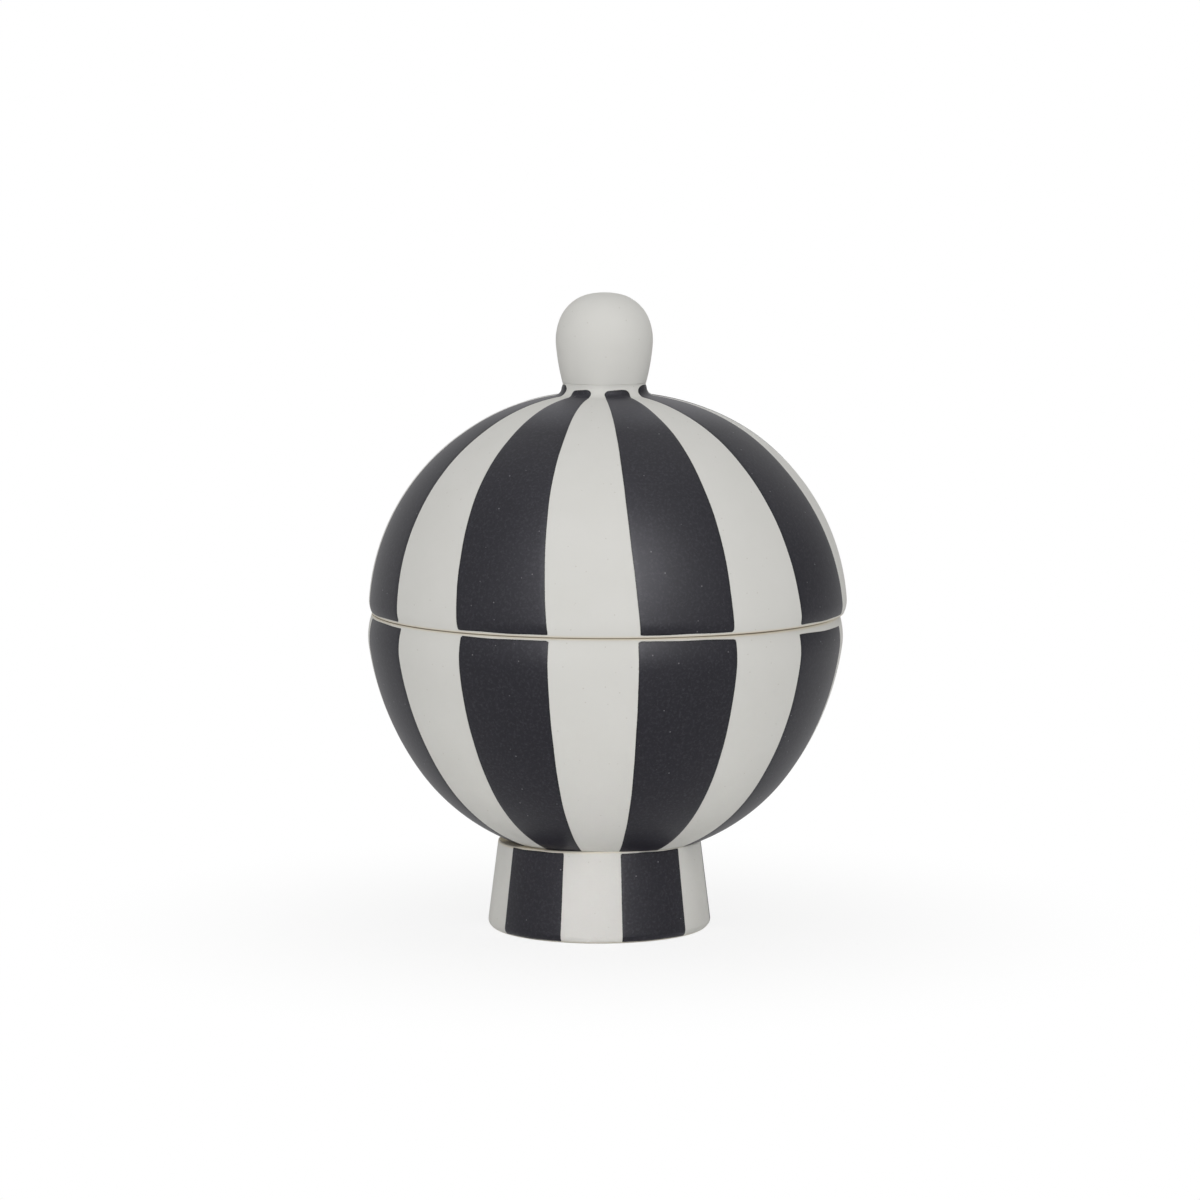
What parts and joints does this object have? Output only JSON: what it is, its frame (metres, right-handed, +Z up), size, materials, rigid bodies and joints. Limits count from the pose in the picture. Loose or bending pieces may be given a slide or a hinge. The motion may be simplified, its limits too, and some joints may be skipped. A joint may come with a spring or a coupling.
{
  "type": "candy box",
  "caption": "Round candy box of matte ceramic on a flared ring foot, with painted dark bands; its domed lid lifts straight off by an egg-shaped knob.",
  "frame": {"origin": "on the table, under the axis of the bowl", "axes": "+Z up along the bowl's axis, from the foot to the knob; -Y is the side that the picture faces"},
  "size_m": [0.12, 0.1198, 0.16],
  "materials": {
    "banded_ceramic": "matte off-white slip-cast ceramic, with upright bands of matte charcoal slip painted on its outside",
    "plain_ceramic": "matte off-white slip-cast ceramic, unpainted, with fine specks"
  },
  "bodies": {
    "base": {"bowl": "banded_ceramic", "foot_ring": "banded_ceramic"},
    "lid": {"lid_dome": "banded_ceramic", "knob": "plain_ceramic"}
  },
  "joints": [
    {"name": "lid_lift", "type": "slide", "parent": "base", "child": "lid", "axis": [0, 0, 1], "range_m": [0, 0.1]}
  ]
}
